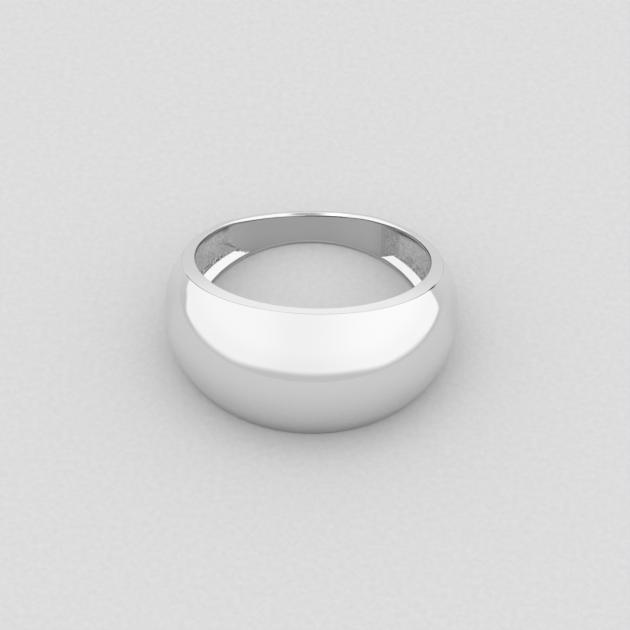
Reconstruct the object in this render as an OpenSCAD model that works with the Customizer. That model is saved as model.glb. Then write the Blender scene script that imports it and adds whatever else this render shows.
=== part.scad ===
// Domed silver ring, lying on its side: one solid band, wide and thick in
// front, narrow and thin behind, hollowed out on the inside.
// Millimetres. The lower rim lies flat in the plane z = 0 and the front of the
// dome faces -Y. The band tapers to the back, so the bore leans back a little.

/* [Finger hole] */
// Inside diameter of the ring
bore_d = 17.3; // [16:0.1:19]

/* [Band] */
// Half the height of the band, measured on the axis of the bore
half_h = 3.35; // [3:0.05:3.8]
// Slope of each rim plane: the half height that is lost per mm towards the back
rim_slope = 0.2107; // [0.17:0.005:0.22]
// Wall thickness at mid height, in front
wall_front = 2.93; // [2.6:0.05:3.4]
// Wall thickness at mid height, 60 degrees from the front
wall_shoulder = 2.80; // [2.5:0.05:3]
// Wall thickness at mid height, at the sides
wall_side = 2.05; // [1.8:0.05:2.3]
// Wall thickness at mid height, behind
wall_back = 0.85; // [0.8:0.05:1.1]

/* [Flat rims] */
// Width of the flat rim in front
rim_front = 1; // [0.8:0.05:1.3]
// Width of the flat rim 60 degrees from the front
rim_shoulder = 1.2; // [0.9:0.05:1.3]
// Width of the flat rim at the sides
rim_side = 0.95; // [0.8:0.05:1.1]
// Width of the flat rim behind
rim_back = 0.61; // [0.5:0.05:0.7]
// How much higher the upper rim was left than the lower one
rim_lift = 0.04; // [0:0.02:0.1]

/* [Dressed back] */
// Distance behind the bore axis from which the upper rim was filed down further
dress_y = 7.25; // [6.75:0.05:8]
// Height lost there per mm towards the back, on top of the rim's own slope
dress_slope = 0.14; // [0.05:0.01:0.16]
// How much further back the filed part starts on the right, per mm sideways
dress_skew = 0.2; // [0:0.05:0.3]

/* [Hollow] */
// Height of the plain land between the lower rim and the hollow
land_low = 0.42; // [0.35:0.01:0.6]
// Height of the plain land between the upper rim and the hollow
land_up = 0.22; // [0.15:0.01:0.5]
// Depth of the hollow in front
hollow_front = 1.2; // [0.9:0.05:1.5]
// Depth of the hollow at its two ends, near the back
hollow_end = 0.41; // [0.2:0.01:0.45]
// Angle of the lower flank of the hollow above the rim plane
flank = 45; // [35:1:60]
// Angle between the upper flank of the hollow and the bore's wall
roof = 28; // [20:1:45]

/* [Ends of the hollow] */
// Angle from the front at which the hollow ends on the right
end_right = 145.3; // [140:0.1:150]
// Angle of the sloping right end, from straight sideways towards the front
end_ramp = 10.8; // [0:0.2:20]
// Angle from the front at which the hollow ends on the left
end_left = 145.5; // [140:0.1:150]
// How far a tongue of plain wall stands forward into the left end
tongue = 2.2; // [1.6:0.1:2.6]

/* [Smoothness] */
// Facets of the dome around the band
around = 96; // [48:8:112]
// Facets of the dome across the band
across = 24; // [12:2:26]

/* [Hidden] */

R = bore_d / 2;
lean = atan(rim_slope);
over = 0.3;                    // how far the dome is drawn past the rim planes
ease = 0.06;                   // small flat step at both lips of the hollow

// Cross-sections of the band, one row each.
ANGLE = 0;                     // column: degrees from the front
WALL = 1;                      // column: wall thickness at mid height
RIM = 2;                       // column: width of the flat rim
SECTIONS = [
    [  0, wall_front,    rim_front],
    [ 60, wall_shoulder, rim_shoulder],
    [ 90, wall_side,     rim_side],
    [180, wall_back,     rim_back]
];

// Edge of the tongue in the hollow's left end, one row each, from below.
UP = 0;                        // column: height above the band's middle
OUT = 1;                       // column: share of the tongue's full reach
TONGUE = [
    [-1.45, 0.00],
    [-1.33, 0.03],
    [-1.00, 0.33],
    [-0.49, 0.65],
    [ 0.10, 0.91],
    [ 0.60, 1.00],
    [ 1.20, 0.98],
    [ 1.75, 0.80],
    [ 2.30, 0.45]
];

// A column of the table at any angle a: the smooth curve in cos(a) that
// passes through every row.
function product(v, i = 0) = i == len(v) ? 1 : v[i] * product(v, i + 1);
function weight(a, i) = product([for (j = [0 : len(SECTIONS) - 1]) if (j != i)
    (cos(a) - cos(SECTIONS[j][ANGLE]))
    / (cos(SECTIONS[i][ANGLE]) - cos(SECTIONS[j][ANGLE]))]);
function at(a, column) = [for (i = [0 : len(SECTIONS) - 1]) weight(a, i)]
    * [for (row = SECTIONS) row[column]];

// The outside of each section is one circular arc, through the outer corners
// of both rims and the full thickness at mid height.
function corner(a) = R + at(a, RIM);
function half(a) = half_h + rim_slope * corner(a) * cos(a);
function sag(a) = at(a, WALL) - at(a, RIM);
function arc_r(a) = (half(a) * half(a) + sag(a) * sag(a)) / (2 * sag(a));
function arc_c(a) = R + at(a, WALL) - arc_r(a);
function arc_end(a) = asin(min(0.98, (half(a) + over) / arc_r(a)));

// The arc's own extremes along Y, front and back, once the bore leans back.
y_front = -(arc_c(0) * cos(lean) + arc_r(0));
y_back = arc_c(180) * cos(lean) + arc_r(180);

// From the bore's own frame, with the axis upright, to the frame in which the
// lower rim lies on z = 0 and the ring's outline is centred on the origin.
module lay_down()
    translate([0, -(y_front + y_back) / 2, half_h * cos(lean)])
        rotate([-lean, 0, 0])
            children();

function dome_point(a, t) =
    let (rho = arc_c(a) + arc_r(a) * cos(t))
    [rho * sin(a), -rho * cos(a), arc_r(a) * sin(t)];

// The domed outside as a solid block, a little higher than the finished band.
module dome() {
    points = [for (i = [0 : around - 1], k = [0 : across])
        let (a = 360 * i / around)
        dome_point(a, arc_end(a) * (2 * k / across - 1))];
    row = across + 1;
    function id(i, k) = (i % around) * row + k;
    sides = [for (i = [0 : around - 1], k = [0 : across - 1], half_of = [0, 1])
        half_of == 0
            ? [id(i, k), id(i, k + 1), id(i + 1, k)]
            : [id(i + 1, k), id(i, k + 1), id(i + 1, k + 1)]];
    // Both caps are fans from a middle point, cut off later by the rim planes.
    low = len(points);
    high = low + 1;
    caps = [for (i = [0 : around - 1], end = [0, 1])
        end == 0 ? [low, id(i, 0), id(i + 1, 0)]
                 : [high, id(i + 1, across), id(i, across)]];
    middle = half_h + over;
    polyhedron(concat(points, [[0, 0, -middle], [0, 0, middle]]),
               concat(sides, caps), convexity = 4);
}

// A block with its underside on the origin, used to cut off what lies above it.
module block()
    translate([-20, -20, 0]) cube([40, 40, 6]);

// Everything below the lower rim plane and above the upper one.
module beyond_rims() {
    translate([0, 0, half_h + rim_lift]) rotate([-lean, 0, 0]) block();
    translate([0, 0, -half_h]) rotate([180 + lean, 0, 0]) block();
}

// The back of the upper rim was filed down once more, to a flat facet.
module beyond_dressing()
    translate([0, dress_y, half_h + rim_lift - rim_slope * dress_y])
        rotate([-atan(rim_slope + dress_slope), -atan(dress_slope * dress_skew), 0])
            block();

// The hollow follows the dome: its wall is a cylinder set forward of the bore,
// so it is deepest in front.
hollow_shift = (hollow_front - hollow_end) / (1 - cos(end_right));
hollow_r = R + hollow_front - hollow_shift;

// Outline of the hollow above its lower lip, from the axis out and up.
rise = 10;
lower_outline = [
    [0, 0], [R + ease, 0],
    [R + ease + 4 / tan(flank), 4], [R + ease + 4 / tan(flank), rise], [0, rise]
];
// Outline below its upper lip, from the axis out and down.
upper_outline = [
    [0, -rise], [0, 0], [R + ease, 0],
    [R + ease + 4 * tan(roof), -4], [R + ease + 4 * tan(roof), -rise]
];

// The plain stretch of wall at the back, seen along the bore.
slope_start = R * [sin(end_right), -cos(end_right)];
plain_wall = [
    [0, 0], slope_start,
    slope_start + 8 * [cos(end_ramp), -sin(end_ramp)],
    [30, 40], [-30, 40],
    30 * [-sin(end_left), -cos(end_left)]
];

// The tongue seen from the axis: along the wall, and up.
tongue_outline = concat(
    [[-3, -3], [0, -3]],
    [for (row = TONGUE) [tongue * row[OUT], row[UP]]],
    [[tongue * TONGUE[len(TONGUE) - 1][OUT], 4], [-3, 4]]);

module hollow()
    difference() {
        intersection() {
            translate([0, -hollow_shift, -7])
                cylinder(r = hollow_r, h = 14, $fn = 180);
            translate([0, 0, land_low - half_h]) rotate([lean, 0, 0])
                rotate_extrude($fn = 180) polygon(lower_outline);
            translate([0, 0, half_h + rim_lift - land_up]) rotate([-lean, 0, 0])
                rotate_extrude($fn = 180) polygon(upper_outline);
        }
        translate([0, 0, -8]) linear_extrude(16) polygon(plain_wall);
        rotate([0, 0, -end_left]) rotate([90, 0, 0])
            linear_extrude(20) polygon(tongue_outline);
    }

module band()
    color([0.87, 0.87, 0.88])
        lay_down()
            difference() {
                dome();
                beyond_rims();
                beyond_dressing();
                translate([0, 0, -10]) cylinder(r = R, h = 20, $fn = 180);
                hollow();
            }

band();
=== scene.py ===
import math
import bpy
from mathutils import Matrix, Vector


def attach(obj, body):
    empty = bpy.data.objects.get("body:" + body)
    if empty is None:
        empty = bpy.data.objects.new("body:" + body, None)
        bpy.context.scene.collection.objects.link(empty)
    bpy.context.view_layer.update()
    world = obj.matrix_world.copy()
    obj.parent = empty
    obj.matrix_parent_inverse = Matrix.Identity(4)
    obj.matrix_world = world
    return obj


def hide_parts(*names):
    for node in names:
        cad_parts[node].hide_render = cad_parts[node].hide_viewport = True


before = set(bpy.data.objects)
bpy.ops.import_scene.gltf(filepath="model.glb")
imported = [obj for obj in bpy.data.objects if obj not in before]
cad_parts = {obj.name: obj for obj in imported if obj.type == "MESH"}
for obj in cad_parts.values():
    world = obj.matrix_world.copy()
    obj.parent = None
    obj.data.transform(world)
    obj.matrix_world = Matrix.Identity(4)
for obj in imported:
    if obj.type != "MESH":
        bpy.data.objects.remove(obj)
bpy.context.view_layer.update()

# ---------------------------------------------------------------- sizes, mm
R = 8.65                 # radius of the bore
HALF = 3.35              # half height of the band on the bore's axis
SLOPE = 0.2107           # half height lost per mm towards the back
LEAN = math.atan(SLOPE)  # the bore leans back by this much
CL, SL = math.cos(LEAN), math.sin(LEAN)

# cross-sections: degrees from the front, wall, flat rim,
# rounding of the rim's outer edge, rounding of its inner edge
SECTIONS = [
    (0,   2.93, 1.00),
    (60,  2.80, 1.20),
    (90,  2.05, 0.95),
    (180, 0.85, 0.61),
]
OUT_ROUND = ((0, 0.03), (75, 0.04), (100, 0.10), (135, 0.12), (180, 0.14))
# painted light, by degrees from the front: painted shade along the upper outer edge, standing for the dark
# reflected there, and painted highlights (negative values) brightening the wall inside on the left and on the right
EDGE_PAINTED_SHADE = ((0, 0.55), (40, 0.55), (56, 0.9), (66, 1.0), (70, 0.3), (88, 0.2), (100, 0.0), (180, 0.0))
LEFT_PAINTED_LIGHT = ((0, -0.45), (100, -0.45), (122, -0.32), (134, -0.10), (146, 0.0), (180, 0.0))
RIGHT_PAINTED_LIGHT = ((0, -0.32), (118, -0.30), (130, -0.24), (141, -0.06), (146, -0.02), (152, -0.12), (162, -0.08), (174, 0.0))
LOW_ROUND = ((0, 0.15), (100, 0.20), (150, 0.36), (180, 0.36))   # lower inner edge
# the upper rim as filed: a little higher and steeper than the lower one, and very slightly conical in front
LIFT, TILT, CONE = 0.04, 0.003, 0.018
LEAD = 0.022             # slight lead at the top of the bore: its width
LEAD_TALL = ((0, 0.13), (130, 0.13), (160, 0.07), (180, 0.07))   # and its height

DRESS_Y = 7.25           # behind this the upper rim was filed down a little more
DRESS_SLOPE = 0.14       # height lost there per mm, on top of SLOPE
DRESS_SOFT = 0.5         # half the length over which the one surface turns into the other
DRESS_SKEW = 0.20        # the filed part starts a little further back on the right
BEVEL = ((0, 0.0), (115, 0.0), (150, 0.15), (180, 0.17))   # upper inner edge, broken behind

LAND_LOW = 0.445         # plain land between the lower rim plane and the hollow
LAND_UP = 0.22           # and between the upper rim plane and the hollow
HOLLOW_FRONT = 1.2
HOLLOW_END = 0.41
END_RIGHT = math.radians(145.3)
END_LEFT = math.radians(145.5)
# outline of the hollow's left end: height, distance along the wall from END_LEFT
TONGUE = [
    (-1.45, 0.00),
    (-1.33, 0.06),
    (-1.00, 0.72),
    (-0.49, 1.43),
    (0.10, 2.00),
    (0.60, 2.20),
    (1.20, 2.15),
    (1.75, 1.75),
    (2.30, 1.00),
]
RAMP = (1.079, -0.206)   # direction, outwards, of the sloping right end
FLANK = (math.radians(50), math.radians(44))   # lower flank, on the left and on the right
COVE = 1.3               # radius of the cove under the upper lip
LIP = 0.20               # rounding of the hollow's lips

SHIFT = (HOLLOW_FRONT - HOLLOW_END) / (1 - math.cos(END_RIGHT))
HOLLOW_R = R + HOLLOW_FRONT - SHIFT


def column(c, k):
    """A column of SECTIONS at the angle whose cosine is c: the cubic in c through every row."""
    total = 0.0
    for i, row in enumerate(SECTIONS):
        ci = math.cos(math.radians(row[0]))
        w = 1.0
        for j, other in enumerate(SECTIONS):
            if j != i:
                cj = math.cos(math.radians(other[0]))
                w *= (c - cj) / (ci - cj)
        total += w * row[k]
    return total


def ramp(table, a):
    """Smooth interpolation in a short table of (degrees from the front, value)."""
    a = abs(a)
    for (a0, v0), (a1, v1) in zip(table, table[1:]):
        if a <= a1:
            t = max(0.0, (a - a0) / (a1 - a0))
            t = t * t * (3 - 2 * t)
            return v0 + (v1 - v0) * t
    return table[-1][1]


def smooth(x):
    x = max(0.0, min(1.0, x))
    return x * x * (3 - 2 * x)


# ------------------------------------------------------- one cross-section
# A section is drawn in the plane of (rho, s): distance from the bore's axis
# and height along it.

def unit(v):
    n = math.hypot(*v) or 1.0
    return (v[0] / n, v[1] / n)


def blend(p0, t0, p1, t1, n):
    """A rounded corner from p0, heading t0, to p1, heading t1: n points between and with both ends."""
    turn = math.acos(max(-1.0, min(1.0, t0[0] * t1[0] + t0[1] * t1[1])))
    chord = math.hypot(p1[0] - p0[0], p1[1] - p0[1])
    h = chord / 3 if turn < 1e-4 else chord * (2 / 3) * math.tan(turn / 4) / math.sin(turn / 2)
    b1 = (p0[0] + t0[0] * h, p0[1] + t0[1] * h)
    b2 = (p1[0] - t1[0] * h, p1[1] - t1[1] * h)
    out = []
    for i in range(n):
        t = i / (n - 1)
        a, b, c, d = (1 - t) ** 3, 3 * t * (1 - t) ** 2, 3 * t * t * (1 - t), t ** 3
        out.append((a * p0[0] + b * b1[0] + c * b2[0] + d * p1[0],
                    a * p0[1] + b * b1[1] + c * b2[1] + d * p1[1]))
    return out


def line(p0, p1, n):
    """n points strictly between p0 and p1."""
    return [(p0[0] + (p1[0] - p0[0]) * i / (n + 1), p0[1] + (p1[1] - p0[1]) * i / (n + 1)) for i in range(1, n + 1)]


def flat(p0, p1, n, d=0.012):
    """n points strictly between p0 and p1, the first and the last close to the ends, so that the flat shades flat."""
    full = math.hypot(p1[0] - p0[0], p1[1] - p0[1])
    d = min(d, full / (n + 1))
    at = [d] + [d + (full - 2 * d) * i / (n - 1) for i in range(1, n - 1)] + [full - d]
    return [(p0[0] + (p1[0] - p0[0]) * t / full, p0[1] + (p1[1] - p0[1]) * t / full) for t in at]


def round_corner(a, c, b, r, n):
    """The corner c of the path a-c-b with radius r, never reaching further than 45% of either side."""
    d0, d1 = unit((c[0] - a[0], c[1] - a[1])), unit((b[0] - c[0], b[1] - c[1]))
    turn = math.acos(max(-1.0, min(1.0, d0[0] * d1[0] + d0[1] * d1[1])))
    reach = min(r * math.tan(turn / 2),
                0.45 * math.hypot(c[0] - a[0], c[1] - a[1]), 0.45 * math.hypot(b[0] - c[0], b[1] - c[1]))
    p0 = (c[0] - d0[0] * reach, c[1] - d0[1] * reach)
    p1 = (c[0] + d1[0] * reach, c[1] + d1[1] * reach)
    return blend(p0, d0, p1, d1, n)


def soft_corner(c, d0, a, d1, b, n):
    """The corner c, rounded from a distance a before it to a distance b after it."""
    p0, p1 = (c[0] - d0[0] * a, c[1] - d0[1] * a), (c[0] + d1[0] * b, c[1] + d1[1] * b)
    b1 = (p0[0] + d0[0] * a * 0.55, p0[1] + d0[1] * a * 0.55)
    b2 = (p1[0] - d1[0] * b * 0.55, p1[1] - d1[1] * b * 0.55)
    out = []
    for i in range(n):
        t = i / (n - 1)
        u = 1 - t
        w = (u ** 3, 3 * t * u * u, 3 * t * t * u, t ** 3)
        out.append(tuple(w[0] * p0[k] + w[1] * b1[k] + w[2] * b2[k] + w[3] * p1[k] for k in (0, 1)))
    return out


def top_of(rho, c, sn):
    """Height of the upper rim at rho, on the section whose cosine and sine are c and sn."""
    y = -rho * c
    s = HALF - SLOPE * y + LIFT - TILT * y - CONE * (rho - R) * smooth((c + 0.3) / 1.1)
    q = y - DRESS_SKEW * rho * sn
    d = q - DRESS_Y
    if d > DRESS_SOFT:
        s -= DRESS_SLOPE * d
    elif d > -DRESS_SOFT:
        s -= DRESS_SLOPE * (d + DRESS_SOFT) ** 2 / (4 * DRESS_SOFT)
    return s


def hollow_depth(psi, c):
    """Depth of the hollow's wall behind the bore at this angle, before its ends cut in."""
    return SHIFT * c + math.sqrt(HOLLOW_R ** 2 - (SHIFT * math.sin(psi)) ** 2) - R


def right_end(psi):
    """Depth that the sloping right end leaves, at an angle counted from the front."""
    ex, ey = R * math.sin(END_RIGHT), -R * math.cos(END_RIGHT)
    rx, ry = math.sin(psi), -math.cos(psi)
    den = rx * RAMP[1] - ry * RAMP[0]
    t = -(rx * ey - ry * ex) / den
    return rx * (ex + t * RAMP[0]) + ry * (ey + t * RAMP[1]) - R


def left_end(psi, s):
    """0 on the plain wall and its tongue, 1 in the hollow: a crisp edge low down, a soft run-out above."""
    u = R * (psi + END_LEFT)
    d = u - TONGUE[-1][1] if s > TONGUE[-1][0] else u
    for (s0, u0), (s1, u1) in zip(TONGUE, TONGUE[1:]):
        if s0 <= s <= s1:
            t = (s - s0) / (s1 - s0)
            d = (u - u0 - (u1 - u0) * t) / math.hypot(1.0, (u1 - u0) / (s1 - s0))
    fade = smooth((s + 0.55) / 1.5)
    wide = 0.08 + 2.4 * fade
    return smooth(d / wide + 0.75 - 0.25 * fade)


def from_ends(psi):
    """0 at either end of the hollow, 1 well inside it."""
    return smooth((math.radians(139) - psi) * R / 0.7) * smooth((psi + math.radians(134)) * R / 0.5)


# small stains: degrees from the front, height, radius, strength
STAINS = [
    (127.5, -0.53, 0.45, 0.16),
    (130.5, -0.54, 0.25, 0.14),
    (122.0, -0.75, 0.35, 0.10),
    (116.5, -0.71, 0.30, 0.45),
    (-145.6, -1.18, 0.09, 0.45),
]

N_DOME, N_OUT, N_RIM, N_IN = 52, 6, 4, 10
N_LAND, N_LIP, N_COVE, N_WALL, N_FOOT = 3, 4, 12, 40, 4


def section(psi):
    c, sn = math.cos(psi), math.sin(psi)
    deg = math.degrees(psi)
    wall, rim = column(c, 1), column(c, 2)
    corner = R + rim
    low_out = -(HALF + SLOPE * corner * c)
    sag = wall - rim
    ra = (low_out ** 2 + sag ** 2) / (2 * sag)
    rc = R + wall - ra

    def arc(t):
        return (rc + ra * math.cos(t), ra * math.sin(t))

    def heading(t):
        return (-math.sin(t), math.cos(t))

    t_low = -math.asin(-low_out / ra)
    lo, hi = 0.0, -t_low + 0.06
    for _ in range(40):                      # where the dome meets the upper rim
        mid = (lo + hi) / 2
        p = arc(mid)
        if p[1] < top_of(p[0], c, sn):
            lo = mid
        else:
            hi = mid
    t_up = (lo + hi) / 2
    up_corner = arc(t_up)
    low_corner = (corner, low_out)

    ro = ramp(OUT_ROUND, deg) + 0.07 * smooth(1 - abs(deg - 64.0) / 6.0)
    up_in = (R, top_of(R, c, sn))
    low_in = (R, -(HALF + SLOPE * R * c))
    d_up = unit((up_in[0] - up_corner[0], up_in[1] - up_corner[1]))
    d_low = unit((low_corner[0] - low_in[0], low_corner[1] - low_in[1]))

    # outer roundings
    def reach(t, d, r):
        h = heading(t)
        turn = math.acos(max(-1.0, min(1.0, h[0] * d[0] + h[1] * d[1])))
        return r * math.tan(turn / 2)

    k_up = reach(t_up, d_up, ro)
    t1 = t_up - k_up / ra
    e_up = (up_corner[0] + d_up[0] * k_up, up_corner[1] + d_up[1] * k_up)
    k_low = reach(t_low, (-d_low[0], -d_low[1]), ro)
    t0 = t_low + k_low / ra
    e_low = (low_corner[0] - d_low[0] * k_low, low_corner[1] - d_low[1] * k_low)

    pts = []
    pts += blend(e_low, d_low, arc(t0), heading(t0), N_OUT)[:-1]
    near = 0.012 / ra
    pts += [arc(t0), arc(t0 + near)]
    pts += [arc(t0 + near + (t1 - t0 - 2 * near) * i / (N_DOME - 3)) for i in range(1, N_DOME - 3)]
    pts += [arc(t1 - near)]
    pts += blend(arc(t1), heading(t1), e_up, d_up, N_OUT)
    # upper rim, then its inner rounding
    def on_top(rho):
        return (rho, top_of(rho, c, sn))
    bev = ramp(BEVEL, deg)
    lead, tall = LEAD, ramp(LEAD_TALL, deg)
    if bev > 0.03:
        edge, low_edge = on_top(R + bev + lead), (R + lead, top_of(R + bev, c, sn) - bev)
        corner1 = round_corner(on_top(e_up[0]), edge, low_edge, 0.03, 4)
        lower = soft_corner(low_edge, unit((-bev, -bev)), 0.1 * bev, unit((-lead, -tall)), 0.02, 3)
        corner1 += flat(corner1[-1], lower[0], 2) + lower
    else:
        low_edge = on_top(R + lead)
        corner1 = soft_corner(low_edge, unit((R - e_up[0], up_in[1] - e_up[1])), 0.03,
                              unit((-lead, -tall)), 0.03, N_IN - 1)
    corner1.append((R, low_edge[1] - tall))
    pts += [on_top(rho) for rho, _ in flat(e_up, corner1[0], N_RIM)]
    pts += corner1
    p1 = corner1[-1]

    # the wall inside: land, lip, flank, hollow, flank, lip, land
    ri_low = ramp(LOW_ROUND, deg)
    q1 = (R, low_in[1] + ri_low)
    depth = hollow_depth(psi, c)
    if psi > 0:
        depth = min(depth, max(right_end(psi), 0.0)) if psi > math.radians(120) else depth
    if abs(deg) > 146:
        depth = 0.0
    lip_up = min(p1[1] - 0.04, HALF + SLOPE * R * c - LAND_UP)
    lip_low = max(q1[1] + 0.03, LAND_LOW - HALF - SLOPE * R * c + 0.015 * sn)
    full = max(depth, 0.02)
    # under the upper lip a cove turns down into the wall
    cove = max(COVE, full / 0.47)
    turn = math.acos(1 - full / cove)
    high = cove * math.sin(turn)
    foot = lip_low + full * math.tan(FLANK[1] + (FLANK[0] - FLANK[1]) * smooth((-sn + 0.6) / 1.2))
    if lip_up - high < foot + 0.1:
        high = max(lip_up - foot - 0.1, 0.1)
    cove_pts = [(R + full - (full / (1 - math.cos(turn))) * (1 - math.cos(turn * (1 - i / N_COVE))),
                 lip_up - high + high * math.sin(turn * (1 - i / N_COVE)) / math.sin(turn)) for i in range(N_COVE + 1)]
    C, D = (R + full, foot), (R, lip_low)
    footC = round_corner(cove_pts[-1], C, D, 0.06, N_FOOT)
    lipD = round_corner(C, D, (R, lip_low - 0.4), LIP, N_LIP)
    inner = []
    inner += line(p1, cove_pts[0], N_LAND) + cove_pts
    inner += line(cove_pts[-1], footC[0], N_WALL) + footC
    inner += flat(footC[-1], lipD[0], 4) + lipD
    inner += line(lipD[-1], q1, N_LAND)
    if depth <= 0.0:
        inner = [(R, s) for _, s in inner]
    elif psi < 0 and deg < -120:
        inner = [(R + (rho - R) * left_end(psi, s), s) for rho, s in inner]
    pts += inner
    # lower inner rounding and rim
    p2 = (R + min(ri_low, 0.5 * rim), 0.0)
    p2 = (p2[0], -(HALF + SLOPE * p2[0] * c))
    pts += blend(q1, (0.0, -1.0), p2, d_low, N_IN)
    pts += flat(p2, e_low, N_RIM)
    return pts


def columns():
    """Angles of the sections, closer together where the hollow ends."""
    fine = [(-152.0, -126.0, 0.27), (136.0, 147.0, 0.27)]
    out, a = [], -180.0
    while a < 180.0 - 1e-6:
        out.append(a)
        step = 0.75
        for lo, hi, s in fine:
            if lo - 1e-6 <= a < hi:
                step = s
        a += step
    if 180.0 - out[-1] < 0.2:
        out.pop()
    return [math.radians(v) for v in out]


# The same place as the CAD solid: outline centred on x = y = 0, lower rim at z = 0.
def arc_of(c):
    wall, rim = column(c, 1), column(c, 2)
    h, sag = HALF + SLOPE * (R + rim) * c, wall - rim
    ra = (h * h + sag * sag) / (2 * sag)
    return R + wall - ra, ra


c0, r0 = arc_of(1.0)
c1, r1 = arc_of(-1.0)
OFF_Y = -(-(c0 * CL + r0) + (c1 * CL + r1)) / 2
OFF_Z = HALF * CL


def lay_down(x, y, s):
    return (x * 0.001, (y * CL + s * SL + OFF_Y) * 0.001, (-y * SL + s * CL + OFF_Z) * 0.001)


def make_ring():
    rows = [section(a) for a in columns()]
    m = len(rows[0])
    verts, inside = [], []
    for a, row in zip(columns(), rows):
        sn, cs = math.sin(a), math.cos(a)
        for rho, s in row:
            verts.append(lay_down(rho * sn, -rho * cs, s))
    n = len(rows)
    faces = []
    for i in range(n):
        j = (i + 1) % n
        for k in range(m):
            l = (k + 1) % m
            faces.append((i * m + k, j * m + k, j * m + l, i * m + l))
    me = bpy.data.meshes.new("ring_surface")
    me.from_pydata(verts, [], faces)
    me.validate()
    # where the wall inside begins and ends in a row
    up_edge = (N_OUT - 1) + (N_DOME - 1)
    first = up_edge + N_OUT + N_RIM + N_IN
    last = m - N_IN - N_RIM
    flank = last - N_LAND - N_LIP - 4 - N_FOOT // 2      # where the lower flank begins
    land = last - N_LAND - N_LIP // 2                    # where the lower land begins
    cove = first + N_LAND
    marks = {"inner": [], "hollow": [], "shade": [], "ragged": []}
    for i, row in enumerate(rows):
        psi = columns()[i]
        deg = math.degrees(psi)
        for k in range(m):
            rho, t = row[k]
            cut = max(rho - R, 0.0)
            narrow = (9 - 8 * smooth((abs(deg) - 95) / 25)   # points of the rim's inner edge that take the inside's duller finish and the painted dark edge line
                      + 2 * smooth((abs(deg) - (170 if psi < 0 else 163)) / 6))
            edge = first - round(narrow)
            outer = up_edge <= k < up_edge + N_OUT
            inside = edge <= k < last + N_IN
            near_cut = max(v[0] for v in row[max(k - 5, 0):k + 1]) - R
            polished = smooth((near_cut - 0.01) / 0.03) if flank <= k < land else 0.0
            dark = ramp(EDGE_PAINTED_SHADE, deg) if outer else 0.0
            if outer:                                        # painted shade: a dark spot at the right shoulder
                dark = max(dark, 1.25 * smooth(1.3 - 1.3 * abs(deg - 63.0) / 6.5))
            elif k < up_edge:                                # the dome: painted shade low down and towards its sides, where it reflects the shaded floor, and a slight painted highlight high on its sides
                t_up = max(k - N_OUT, 0) / N_DOME
                side = smooth((abs(deg) - 60) / 12) * (1 - smooth((abs(deg) - 110) / 25))
                dark = (0.07 * (1 - smooth((t_up - 0.30) / 0.20)) * (1 - side)
                        + side * (0.15 - 0.20 * smooth((t_up - 0.62) / 0.30)))
            if k < N_OUT + 11:                           # the foot of the dome, close to the table: painted shade, the reflection of the contact shadow
                foot = 1 - max(k - N_OUT + 1, 0) / 12
                dark = max(dark, 0.62 * foot ** 1.5 * (1 - smooth((abs(deg) - 85) / 40)))
            base = ramp(LEFT_PAINTED_LIGHT if psi < 0 else RIGHT_PAINTED_LIGHT, deg)
            if edge <= k < first:                        # the edge of the rim: painted shade, a dark line for the dark inside that it reflects
                dark = (0.95 if psi < 0 else 1.12) * smooth((abs(deg) - 42) / 20)
            elif first <= k < cove:                      # the land under it: painted shade on the left, a painted highlight on the right
                dark = 0.4 * (1 - smooth((abs(deg) - 128) / 14)) if psi < 0 else -0.7 * from_ends(psi)
            elif cove <= k <= cove + N_COVE:             # the cove: painted shade under the upper lip
                f = (k - cove) / N_COVE
                dark = base + (1.15 * (1 - smooth(f / 0.95)) if psi < 0 else 1.1 * (1 - smooth((f - 0.45) / 0.4))) * from_ends(psi)
            # the wall of the hollow: painted highlights, brighter towards the sides
            elif cove < k < flank:
                dark = base
            # the lower land: painted shade, a dark band along the foot of the wall
            elif land <= k < last:
                dark = 0.25 * (1 - smooth((abs(deg) - 135) / 30))
            if 136.5 < deg < 145.3 and cove < k < flank:
                dark = max(dark, 0.15)                   # the sloping end is darker
            for a, b, r, d in STAINS if inside else []:
                near = 1 - smooth(math.hypot(R * math.radians(deg - a), t - b) / r)
                dark += (d - min(dark, 0.0)) * near
            low = last <= k < last + N_IN
            rag = max(0.0, 1 - abs(k - flank + 5) / 7.0)
            marks["inner"].append((0.35 if low else 1.0 - 0.9 * polished) if inside else 0.0)
            marks["hollow"].append(smooth((cut - 0.03) / 0.1) if first <= k < flank else 0.0)
            marks["shade"].append(dark)
            marks["ragged"].append(smooth(rag) * (
                smooth((deg + 135) / 6) * smooth((-deg - 60) / 8) if psi < 0
                else 0.3 * smooth((deg - 62) / 10) * (1 - smooth((deg - 138) / 6))))
    for name, values in marks.items():
        me.attributes.new(name, "FLOAT", "POINT").data.foreach_set("value", values)
    for p in me.polygons:
        p.use_smooth = True
    me.update()
    ob = bpy.data.objects.new("ring_surface", me)
    bpy.context.scene.collection.objects.link(ob)
    return ob


ring = make_ring()
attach(ring, "root")
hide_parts("band")


# ---------------------------------------------------------------- materials
def node_tree(name):
    mat = bpy.data.materials.new(name)
    mat.use_nodes = True
    nt = mat.node_tree
    nt.nodes.clear()
    return mat, nt


def add(nt, kind, **values):
    node = nt.nodes.new(kind)
    for key, value in values.items():
        if key in node.inputs:
            node.inputs[key].default_value = value
        else:
            setattr(node, key, value)
    return node


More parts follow.
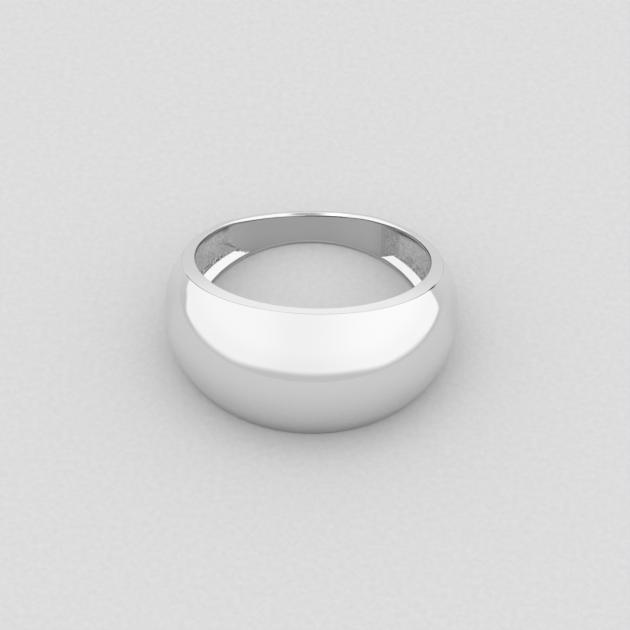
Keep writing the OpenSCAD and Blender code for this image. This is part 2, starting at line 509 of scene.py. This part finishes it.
def silver():
    mat, nt = node_tree("silver_polish")
    out = add(nt, "ShaderNodeOutputMaterial")
    bsdf = add(nt, "ShaderNodeBsdfPrincipled", Metallic=1.0)
    nt.links.new(bsdf.outputs[0], out.inputs[0])
    coord = add(nt, "ShaderNodeTexCoord")
    inner = add(nt, "ShaderNodeAttribute", attribute_name="inner")
    def mark(name):
        return add(nt, "ShaderNodeAttribute", attribute_name=name).outputs["Fac"]

    def noise(scale, detail):
        node = add(nt, "ShaderNodeTexNoise", Scale=scale, Detail=detail)
        nt.links.new(coord.outputs["Object"], node.inputs["Vector"])
        return node.outputs["Fac"]

    def calc(op, a, b):
        node = add(nt, "ShaderNodeMath", operation=op)
        for k, v in enumerate((a, b)):
            if isinstance(v, float):
                node.inputs[k].default_value = v
            else:
                nt.links.new(v, node.inputs[k])
        return node.outputs[0]

    hollow, shade, ragged = mark("hollow"), mark("shade"), mark("ragged")
    # reflectance: polished outside, duller inside, clouded in the hollow; the shade mark then paints shade in its
    # corners, along its edges and low on the dome, painted highlights where it is negative, and the stains
    cloudy = calc("ADD", calc("MULTIPLY", calc("SUBTRACT", noise(1300.0, 3.0), 0.5), 0.22), 0.03)
    cloudy = calc("ADD", cloudy, calc("MULTIPLY", calc("SUBTRACT", noise(8000.0, 1.0), 0.5), 0.7))
    dull = calc("ADD", calc("MULTIPLY", cloudy, hollow), 0.53)
    beads = noise(4600.0, 1.0)
    spots = add(nt, "ShaderNodeMapRange")
    for key, value in (("From Min", 0.40), ("From Max", 0.62), ("To Min", -0.42), ("To Max", 0.50)):
        spots.inputs[key].default_value = value
    nt.links.new(beads, spots.inputs["Value"])
    dull = calc("ADD", dull, calc("MULTIPLY", ragged, spots.outputs["Result"]))
    tone = add(nt, "ShaderNodeMix", data_type="FLOAT")
    nt.links.new(inner.outputs["Fac"], tone.inputs["Factor"])
    tone.inputs["A"].default_value = 0.80
    nt.links.new(dull, tone.inputs["B"])
    colour = add(nt, "ShaderNodeCombineColor")
    shaded = calc("MULTIPLY", tone.outputs["Result"], calc("SUBTRACT", 1.0, calc("MULTIPLY", shade, 0.75)))
    for k in range(3):
        nt.links.new(shaded, colour.inputs[k])
    nt.links.new(colour.outputs[0], bsdf.inputs["Base Color"])
    # the hollow was left as cast and only brushed over; its lower corner is ragged
    grain = add(nt, "ShaderNodeBump", Distance=0.00003)
    nt.links.new(noise(9000.0, 2.0), grain.inputs["Height"])
    nt.links.new(calc("MULTIPLY", hollow, 0.35), grain.inputs["Strength"])
    lumps = add(nt, "ShaderNodeBump", Distance=0.00015)
    nt.links.new(beads, lumps.inputs["Height"])
    nt.links.new(calc("MULTIPLY", ragged, 0.9), lumps.inputs["Strength"])
    nt.links.new(grain.outputs["Normal"], lumps.inputs["Normal"])
    nt.links.new(lumps.outputs["Normal"], bsdf.inputs["Normal"])
    # polish: slight unevenness of the gloss
    cloud = add(nt, "ShaderNodeTexNoise", Scale=420.0, Detail=3.0)
    nt.links.new(coord.outputs["Object"], cloud.inputs["Vector"])
    gloss = add(nt, "ShaderNodeMapRange")
    gloss.inputs["To Min"].default_value = 0.05
    gloss.inputs["To Max"].default_value = 0.09
    nt.links.new(cloud.outputs["Fac"], gloss.inputs["Value"])
    satin = add(nt, "ShaderNodeMapRange")
    satin.inputs["To Min"].default_value = 0.18
    satin.inputs["To Max"].default_value = 0.30
    nt.links.new(cloud.outputs["Fac"], satin.inputs["Value"])
    rough = add(nt, "ShaderNodeMix", data_type="FLOAT")
    nt.links.new(inner.outputs["Fac"], rough.inputs["Factor"])
    nt.links.new(gloss.outputs["Result"], rough.inputs["A"])
    nt.links.new(satin.outputs["Result"], rough.inputs["B"])
    nt.links.new(rough.outputs["Result"], bsdf.inputs["Roughness"])
    return mat


ring.data.materials.append(silver())


# -------------------------------------------------------------------- stage
def disc(name, radius, z, rings=2, around=128):
    verts, faces = [(0, 0, z)], []
    for k in range(1, rings + 1):
        for i in range(around):
            a = 2 * math.pi * i / around
            verts.append((radius * k / rings * math.cos(a), radius * k / rings * math.sin(a), z))
    for i in range(around):
        faces.append((0, 1 + i, 1 + (i + 1) % around))
    for k in range(1, rings):
        o0, o1 = 1 + (k - 1) * around, 1 + k * around
        for i in range(around):
            j = (i + 1) % around
            faces.append((o0 + i, o1 + i, o1 + j, o0 + j))
    me = bpy.data.meshes.new(name)
    me.from_pydata(verts, [], faces)
    ob = bpy.data.objects.new(name, me)
    bpy.context.scene.collection.objects.link(ob)
    return ob


def ring_of_paper(name, r0, r1, z, around=128):
    verts = [(r * math.cos(2 * math.pi * i / around), r * math.sin(2 * math.pi * i / around), z)
             for r in (r0, r1) for i in range(around)]
    faces = [(i, around + i, around + (i + 1) % around, (i + 1) % around) for i in range(around)]
    me = bpy.data.meshes.new(name)
    me.from_pydata(verts, [], faces)
    ob = bpy.data.objects.new(name, me)
    bpy.context.scene.collection.objects.link(ob)
    return ob


floor = disc("floor", 0.034, -0.00001)
# beyond the frame the paper carries on, but the polished metal sees the tent there
surround = ring_of_paper("floor_around", 0.034, 0.40, -0.00001)
surround.visible_glossy = False


def paper():
    mat, nt = node_tree("pale_paper")
    out = add(nt, "ShaderNodeOutputMaterial")
    bsdf = add(nt, "ShaderNodeBsdfPrincipled", Roughness=0.95)
    bsdf.inputs["Specular IOR Level"].default_value = 0.1
    nt.links.new(bsdf.outputs[0], out.inputs[0])
    coord = add(nt, "ShaderNodeTexCoord")
    fine = add(nt, "ShaderNodeTexNoise", Scale=2200.0, Detail=4.0, Roughness=0.6)
    nt.links.new(coord.outputs["Object"], fine.inputs["Vector"])
    tone = add(nt, "ShaderNodeMapRange")
    tone.inputs["From Min"].default_value = 0.25
    tone.inputs["From Max"].default_value = 0.75
    tone.inputs["To Min"].default_value = 0.570
    tone.inputs["To Max"].default_value = 0.630
    nt.links.new(fine.outputs["Fac"], tone.inputs["Value"])
    # painted light: the paper inside the ring is made brighter, for the light that the ring's own silver throws on it
    away = add(nt, "ShaderNodeVectorMath", operation="DISTANCE")
    nt.links.new(coord.outputs["Object"], away.inputs[0])
    away.inputs[1].default_value = (0.0, OFF_Y * 0.001, 0.0)
    lift = add(nt, "ShaderNodeMapRange")
    for key, value in (("From Min", 0.0086), ("From Max", 0.0095), ("To Min", 1.33), ("To Max", 1.0)):
        lift.inputs[key].default_value = value
    nt.links.new(away.outputs["Value"], lift.inputs["Value"])
    # painted shadow: darker along the line where the ring stands, where no light reaches
    contact = add(nt, "ShaderNodeMapRange", interpolation_type="SMOOTHSTEP")
    for key, value in (("From Min", 0.0096), ("From Max", 0.0104), ("To Min", 0.86), ("To Max", 1.0)):
        contact.inputs[key].default_value = value
    nt.links.new(away.outputs["Value"], contact.inputs["Value"])
    both = add(nt, "ShaderNodeMath", operation="MULTIPLY")
    nt.links.new(lift.outputs["Result"], both.inputs[0])
    nt.links.new(contact.outputs["Result"], both.inputs[1])
    lit = add(nt, "ShaderNodeMath", operation="MULTIPLY")
    nt.links.new(tone.outputs["Result"], lit.inputs[0])
    nt.links.new(both.outputs[0], lit.inputs[1])
    nt.links.new(lit.outputs[0], bsdf.inputs["Base Color"])
    bump = add(nt, "ShaderNodeBump", Strength=0.35, Distance=0.00008)
    nt.links.new(fine.outputs["Fac"], bump.inputs["Height"])
    nt.links.new(bump.outputs["Normal"], bsdf.inputs["Normal"])
    return mat


floor.data.materials.append(paper())
surround.data.materials.append(floor.data.materials[0])


# -------------------------------------------------------------------- light
def tent():
    """A white tent all round, with the paper's grey below its edge and a dark gap over the camera."""
    world = bpy.data.worlds.new("tent")
    bpy.context.scene.world = world
    world.use_nodes = True
    nt = world.node_tree
    nt.nodes.clear()
    out = add(nt, "ShaderNodeOutputWorld")
    back = add(nt, "ShaderNodeBackground")
    nt.links.new(back.outputs[0], out.inputs[0])
    coord = add(nt, "ShaderNodeTexCoord")
    sep = add(nt, "ShaderNodeSeparateXYZ")
    nt.links.new(coord.outputs["Generated"], sep.inputs[0])
    X, Y, Z = sep.outputs

    def step(src, lo, hi, a, b):
        """Smoothly from a at lo to b at hi."""
        node = add(nt, "ShaderNodeMapRange", interpolation_type="SMOOTHSTEP")
        if lo > hi:
            lo, hi, a, b = hi, lo, b, a
        for key, value in (("From Min", lo), ("From Max", hi), ("To Min", a), ("To Max", b)):
            node.inputs[key].default_value = value
        nt.links.new(src, node.inputs["Value"])
        return node.outputs["Result"]

    def calc(op, a, b):
        node = add(nt, "ShaderNodeMath", operation=op)
        for k, v in enumerate((a, b)):
            if isinstance(v, float):
                node.inputs[k].default_value = v
            else:
                nt.links.new(v, node.inputs[k])
        return node.outputs[0]

    # height of the tent's lower edge: low at the sides, a little higher in front, at the horizon behind
    lift = EDGE_BACK - EDGE_SIDE
    left = calc("ADD", step(Y, 0.20, 0.42, 0.0, 0.086), step(Y, 0.46, 0.80, 0.0, lift - 0.086))
    right = step(Y, 0.39, 0.55, 0.0, lift)
    both = calc("ADD", left, calc("MULTIPLY", calc("SUBTRACT", right, left), step(X, -0.2, 0.2, 0.0, 1.0)))
    edge = calc("ADD", step(Y, -0.6, -1.0, EDGE_SIDE, EDGE_FRONT), both)
    wide = calc("ADD", step(Y, 0.75, 0.99, 0.05, 0.022), step(Y, -0.15, 0.1, 0.07, 0.0))
    above = calc("DIVIDE", calc("SUBTRACT", Z, edge), wide)
    inside = step(above, -0.5, 0.5, 0.0, 1.0)
    # the tent itself: brightest on the right, a little greyer low down
    tone = calc("ADD", step(X, -0.1, 0.75, 1.09, 1.19), step(Z, 0.0, 0.35, -0.05, 0.0))
    tone = calc("ADD", tone, step(X, -0.15, -0.65, 0.0, 0.06))
    # a larger light straight above
    tone = calc("ADD", tone, step(Z, 0.82, 0.92, 0.0, TOP_LIGHT))
    # the dark gap where the camera looks in
    gap = calc("MULTIPLY", step(X, -0.55, 0.02, 0.0, 1.0), step(X, 0.75, 0.20, 0.0, 1.0))
    gap = calc("MULTIPLY", gap, step(Z, 0.80, 0.92, 0.0, 1.0))
    gap = calc("MULTIPLY", gap, step(Y, 0.15, 0.0, 0.0, 1.0))
    tone = calc("MULTIPLY", tone, calc("SUBTRACT", 1.0, calc("MULTIPLY", gap, 0.76)))
    grey = step(Y, 0.3, 0.9, PAPER_GREY, PAPER_BACK)
    light = calc("ADD", calc("MULTIPLY", inside, calc("SUBTRACT", tone, grey)), grey)
    nt.links.new(light, back.inputs["Strength"])
    back.inputs["Color"].default_value = (1, 1, 1, 1)


TOP_LIGHT = 1.1
EDGE_SIDE = -0.187
EDGE_FRONT = -0.105
EDGE_BACK = 0.0187
PAPER_GREY = 0.66
PAPER_BACK = 0.755
tent()
bpy.context.scene.view_settings.view_transform = "Standard"


# ------------------------------------------------------------------- camera
def camera():
    dist, f13 = 300.0, 13.535209
    el, roll, yaw = math.radians(48.213482), math.radians(0.832332), math.radians(-1.605280)
    ax, ay = -2.830558, -16.983121
    focal = f13 * dist
    pos = Vector((0, -dist * math.cos(el), dist * math.sin(el) + 3.0))
    fwd = Vector((0, math.cos(el), -math.sin(el)))
    right, up = Vector((1, 0, 0)), Vector((0, math.sin(el), math.cos(el)))
    right, up = math.cos(roll) * right + math.sin(roll) * up, -math.sin(roll) * right + math.cos(roll) * up
    # aim so that the frame's middle looks where the photo's middle looks
    aim = (fwd - right * (ax / focal) + up * (ay / focal)).normalized()
    turn = Matrix.Rotation(-yaw, 3, "Z")
    pos, aim, up = turn @ pos, turn @ aim, turn @ up
    side = aim.cross(up).normalized()
    up = side.cross(aim).normalized()
    m = Matrix((side, up, -aim)).transposed().to_4x4()
    m.translation = (pos + Vector((0, OFF_Y, 0))) * 0.001
    cam = bpy.data.cameras.new("camera")
    cam.sensor_width = 36.0
    cam.lens = focal / 630 * 36.0
    cam.clip_start, cam.clip_end = 0.01, 10
    ob = bpy.data.objects.new("camera", cam)
    ob.matrix_world = m
    bpy.context.scene.collection.objects.link(ob)
    bpy.context.scene.camera = ob


camera()
